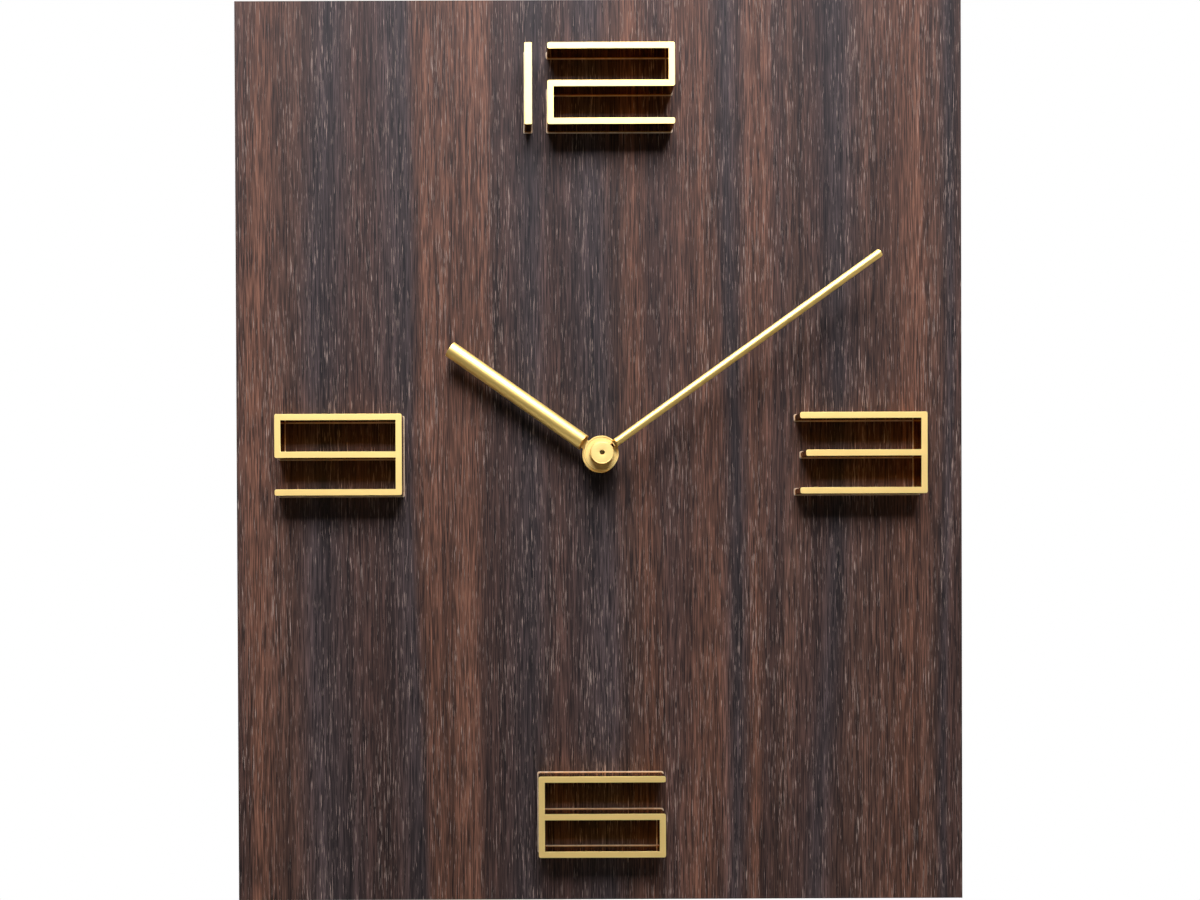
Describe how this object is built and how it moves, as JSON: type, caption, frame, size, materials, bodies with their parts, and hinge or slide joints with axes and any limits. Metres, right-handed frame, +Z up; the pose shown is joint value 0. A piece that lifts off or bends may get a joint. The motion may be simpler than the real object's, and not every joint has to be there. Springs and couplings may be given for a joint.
{
  "type": "quartz wall clock",
  "caption": "Rectangular veneered board clock with raised squared numerals, two round tube hands, a battery quartz movement behind it and a keyhole hanger.",
  "frame": {"origin": "on the rear face of the hanger plate, just above its slot, where the clock bears on the wall", "axes": "+Z up the board, +Y out of the back towards the wall, +X to the viewer's right"},
  "size_m": [0.3, 0.0361, 0.372],
  "materials": {
    "veneer": "dark straight-grained veneer, satin",
    "core": "raw fibreboard",
    "beech": "planed beech",
    "gold": "polished, gold anodised",
    "tape": "clear adhesive tape",
    "brass": "turned",
    "steel": "plain sheet",
    "rubber": "matte",
    "black_plastic": "fine moulded grain",
    "nylon": "moulded, natural",
    "winding": "enamelled copper wire",
    "circuit": "phenolic sheet",
    "magnet": "sintered",
    "cell": "plain jacket",
    "felt": "felt"
  },
  "bodies": {
    "clock_body": {"board_core": "core", "hanger_block": "beech", "front_veneer": "veneer", "back_veneer": "veneer", "edge_band_left": "veneer", "edge_band_right": "veneer", "edge_band_top": "veneer", "edge_band_bottom": "veneer", "numeral_12_one": "gold", "numeral_12_one_tape": "tape", "numeral_12_two": "gold", "numeral_12_two_tape": "tape", "numeral_3": "gold", "numeral_3_tape": "tape", "numeral_6": "gold", "numeral_6_tape": "tape", "numeral_9": "gold", "numeral_9_tape": "tape", "dial_washer": "brass", "fixing_nut": "brass", "threaded_bush": "brass", "rubber_washer": "rubber", "movement_front_case": "black_plastic", "movement_rear_case": "black_plastic", "train_bridge": "nylon", "stator": "steel", "coil_core": "steel", "coil_bobbin": "nylon", "coil_winding": "winding", "circuit_board": "circuit", "chip_cap": "black_plastic", "quartz_crystal": "steel", "positive_contact": "steel", "negative_contact": "steel", "hanger_plate": "steel", "hanger_screw_left": "steel", "hanger_screw_right": "steel", "wall_pad_left": "felt", "wall_pad_right": "felt"},
    "minute_hand": {"minute_hand_hub": "gold", "minute_hand_tube": "gold", "hand_nut": "gold", "cannon_pinion": "brass"},
    "hour_hand": {"hour_hand_hub": "gold", "hour_hand_tube": "gold", "hour_wheel": "brass"},
    "motion": {"motion_wheel": "nylon"},
    "knob": {"setting_knob": "black_plastic"},
    "rotor": {"rotor_magnet": "magnet", "rotor_pinion": "nylon"},
    "intermediate": {"intermediate_wheel": "nylon"},
    "seconds": {"seconds_wheel": "nylon", "seconds_arbor": "steel"},
    "third": {"third_wheel": "nylon"},
    "centre": {"centre_wheel": "nylon"},
    "cell": {"battery_cell": "cell"}
  },
  "joints": [
    {"name": "minute_hand_turn", "type": "hinge", "parent": "clock_body", "child": "minute_hand", "pos_m": [0, -0.0215, -0.1432], "axis": [0, 1, 0], "continuous": true},
    {"name": "hour_hand_turn", "type": "hinge", "parent": "clock_body", "child": "hour_hand", "pos_m": [0, -0.0215, -0.1432], "axis": [0, 1, 0], "continuous": true},
    {"name": "motion_wheel_turn", "type": "hinge", "parent": "clock_body", "child": "motion", "pos_m": [0.00771, -0.0151, -0.146], "axis": [0, 1, 0], "continuous": true},
    {"name": "setting_knob_turn", "type": "hinge", "parent": "clock_body", "child": "knob", "pos_m": [0.01662, -0.0085, -0.14362], "axis": [0, 1, 0], "continuous": true},
    {"name": "intermediate_wheel_turn", "type": "hinge", "parent": "clock_body", "child": "intermediate", "pos_m": [0.00721, -0.0095, -0.13599], "axis": [0, 1, 0], "continuous": true},
    {"name": "rotor_turn", "type": "hinge", "parent": "clock_body", "child": "rotor", "pos_m": [0.01379, -0.0095, -0.13359], "axis": [0, 1, 0], "continuous": true},
    {"name": "seconds_wheel_turn", "type": "hinge", "parent": "clock_body", "child": "seconds", "pos_m": [0, -0.0095, -0.1432], "axis": [0, 1, 0], "continuous": true},
    {"name": "third_wheel_turn", "type": "hinge", "parent": "clock_body", "child": "third", "pos_m": [-0.00883, -0.0095, -0.1381], "axis": [0, 1, 0], "continuous": true},
    {"name": "centre_wheel_turn", "type": "hinge", "parent": "clock_body", "child": "centre", "pos_m": [0, -0.0122, -0.1432], "axis": [0, 1, 0], "continuous": true},
    {"name": "cell_slide", "type": "slide", "parent": "clock_body", "child": "cell", "axis": [0, 1, 0], "range_m": [0, 0.03]}
  ],
  "couplings": [
    {"joint": "hour_hand_turn", "follows": "minute_hand_turn", "ratio": 0.083333},
    {"joint": "motion_wheel_turn", "follows": "minute_hand_turn", "ratio": -0.33333},
    {"joint": "setting_knob_turn", "follows": "minute_hand_turn", "ratio": 0.66667},
    {"joint": "rotor_turn", "follows": "intermediate_wheel_turn", "ratio": -6},
    {"joint": "seconds_wheel_turn", "follows": "intermediate_wheel_turn", "ratio": -0.2},
    {"joint": "third_wheel_turn", "follows": "intermediate_wheel_turn", "ratio": 0.026667},
    {"joint": "centre_wheel_turn", "follows": "intermediate_wheel_turn", "ratio": -0.0033333}
  ]
}
